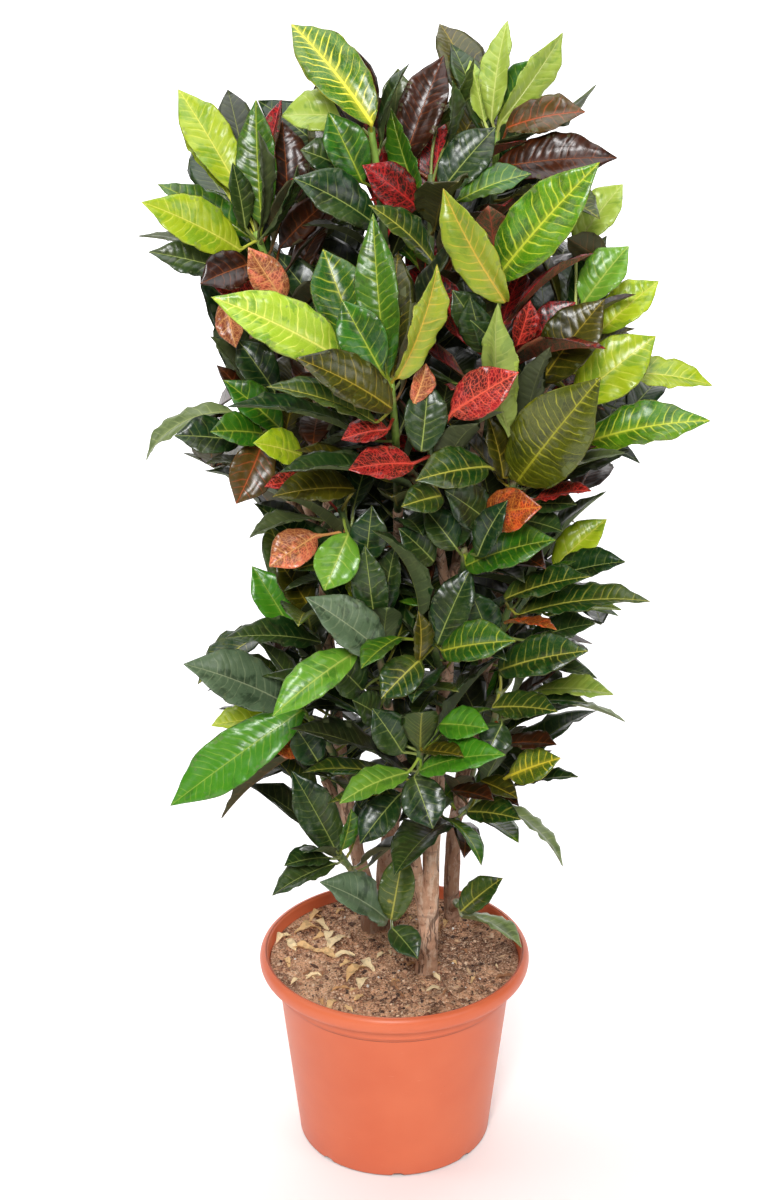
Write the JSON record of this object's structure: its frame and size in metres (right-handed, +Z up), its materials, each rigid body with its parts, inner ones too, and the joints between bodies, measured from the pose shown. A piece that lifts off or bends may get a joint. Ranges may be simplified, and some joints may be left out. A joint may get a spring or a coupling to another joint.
{
  "type": "potted croton",
  "caption": "Tall bushy croton houseplant with broad veined green, lime, olive and red leaves on woody trunks, in a round tapered terracotta-coloured plastic pot.",
  "frame": {"origin": "centre of the pot's underside, on the surface it stands on", "axes": "+Z up along the pot's axis; -Y towards the side that the picture shows; +X to that view's right"},
  "size_m": [0.5005, 0.4713, 1.1082],
  "materials": {
    "terracotta_plastic": "satin moulded terracotta-coloured plastic with a soft sheen on the rim",
    "potting_soil": "loose brown peat with wood chips, dry leaf scraps and white grains",
    "bark": "pale pinkish-brown woody bark, ringed and lightly cracked",
    "croton_leaf": "thick leathery leaves, glossy dark green, olive and red with yellow veins",
    "young_leaf": "young leaves, satin lime green with yellow veins"
  },
  "bodies": {
    "root": {"pot": "terracotta_plastic", "soil": "potting_soil", "trunk_front": "bark", "trunk_left": "bark", "trunk_middle": "bark", "trunk_right": "bark", "shoot_top_left": "croton_leaf", "young_top_left": "young_leaf", "shoot_top_middle_left": "croton_leaf", "young_top_middle_left": "young_leaf", "shoot_top_middle": "croton_leaf", "shoot_top_right": "croton_leaf", "young_top_right": "young_leaf", "shoot_upper_right": "croton_leaf", "young_upper_right": "young_leaf", "shoot_right": "croton_leaf", "young_right": "young_leaf", "shoot_middle_right": "croton_leaf", "shoot_middle_left": "croton_leaf", "young_middle_left": "young_leaf", "shoot_middle": "croton_leaf", "shoot_left": "croton_leaf", "young_left": "young_leaf", "shoot_middle_left_lower": "croton_leaf", "shoot_lower_left": "croton_leaf", "shoot_left_low": "croton_leaf", "shoot_left_bottom": "croton_leaf", "young_left_bottom": "young_leaf", "shoot_low_left": "croton_leaf", "shoot_sucker_left": "croton_leaf", "shoot_sucker_right": "croton_leaf", "shoot_low_middle": "croton_leaf", "shoot_centre_low": "croton_leaf", "shoot_centre_right": "croton_leaf", "shoot_right_low": "croton_leaf", "shoot_right_edge": "croton_leaf", "young_right_edge": "young_leaf", "shoot_right_bottom": "croton_leaf", "shoot_low_right": "croton_leaf", "shoot_back_low_right": "croton_leaf", "shoot_back_low_middle": "croton_leaf", "shoot_back_low_left": "croton_leaf", "shoot_back_mid_right": "croton_leaf", "shoot_back_mid_middle": "croton_leaf", "shoot_back_mid_left": "croton_leaf", "shoot_back_upper_right": "croton_leaf", "shoot_back_upper_middle": "croton_leaf", "shoot_back_upper_left": "croton_leaf", "shoot_back_top_right": "croton_leaf", "shoot_back_top_left": "croton_leaf"}
  },
  "joints": []
}
